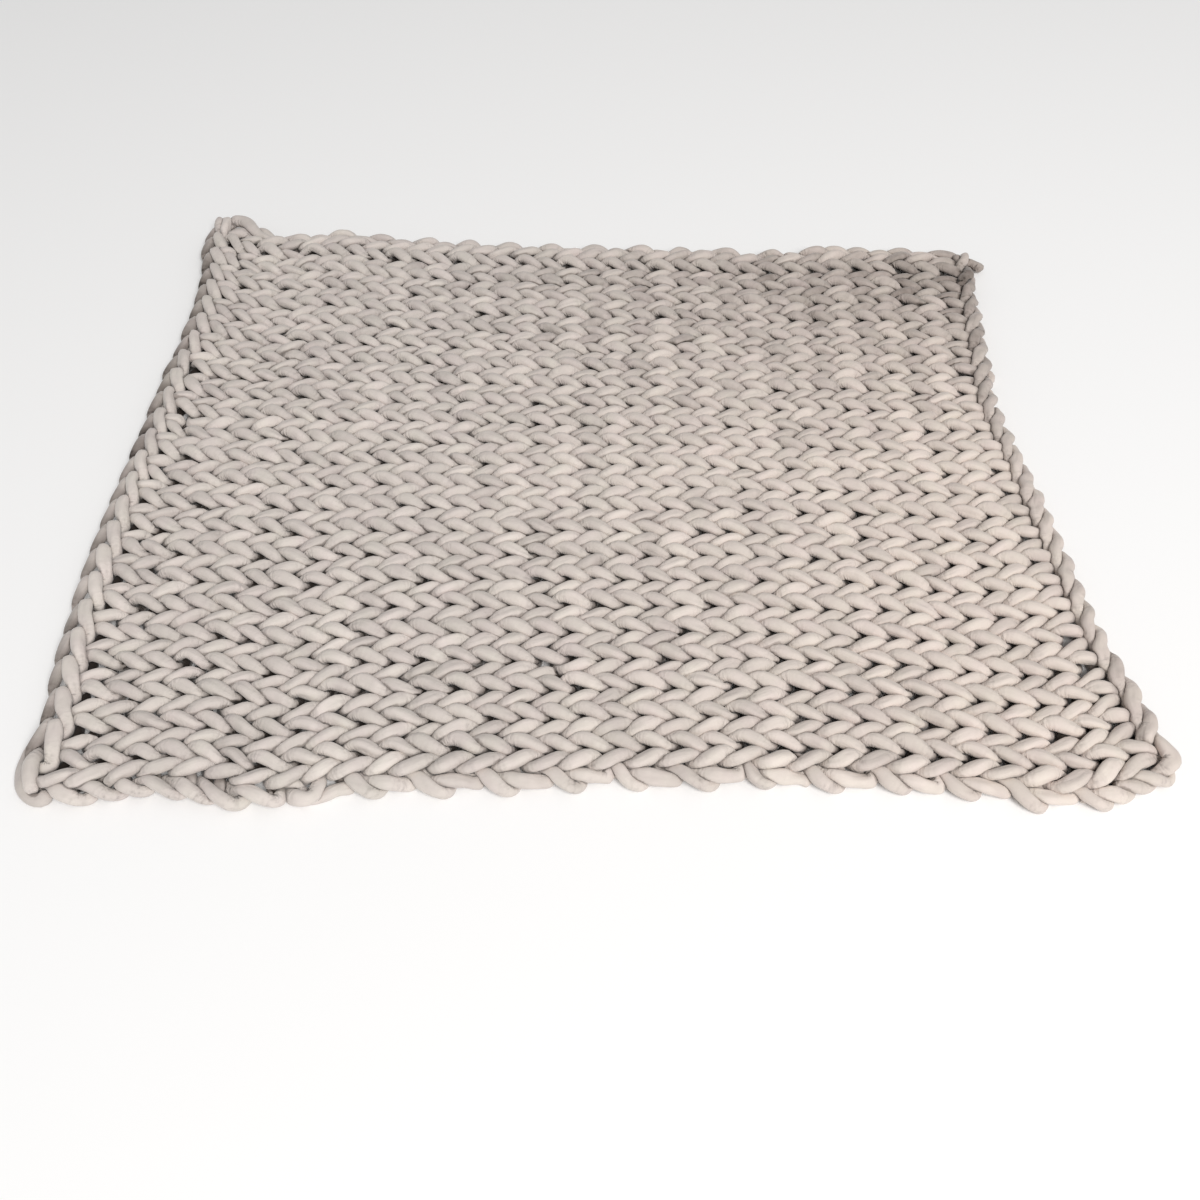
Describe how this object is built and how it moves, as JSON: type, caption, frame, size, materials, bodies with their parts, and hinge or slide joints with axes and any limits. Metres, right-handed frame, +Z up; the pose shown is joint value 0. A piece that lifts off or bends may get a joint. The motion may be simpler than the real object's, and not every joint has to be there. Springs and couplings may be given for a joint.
{
  "type": "chunky knitted velvet throw blanket",
  "caption": "Flat rectangular throw hand-knitted from fat stuffed velvet yarn, with rows of leaning stitches, a chain edge at one side and a rope-like edge at the other.",
  "frame": {"origin": "under the middle of the throw's box, on the surface that it lies on", "axes": "+X along the rows of stitches from the cast-on chain to the bind-off rope, +Y from the front edge to the back edge, +Z up"},
  "size_m": [1.5656, 1.3882, 0.0372],
  "materials": {
    "velvet_yarn": "pale warm greige velvet tube yarn, matte with a soft sheen and fine wrinkles where the yarn bends"
  },
  "bodies": {
    "root": {"blanket": "velvet_yarn"}
  },
  "joints": []
}
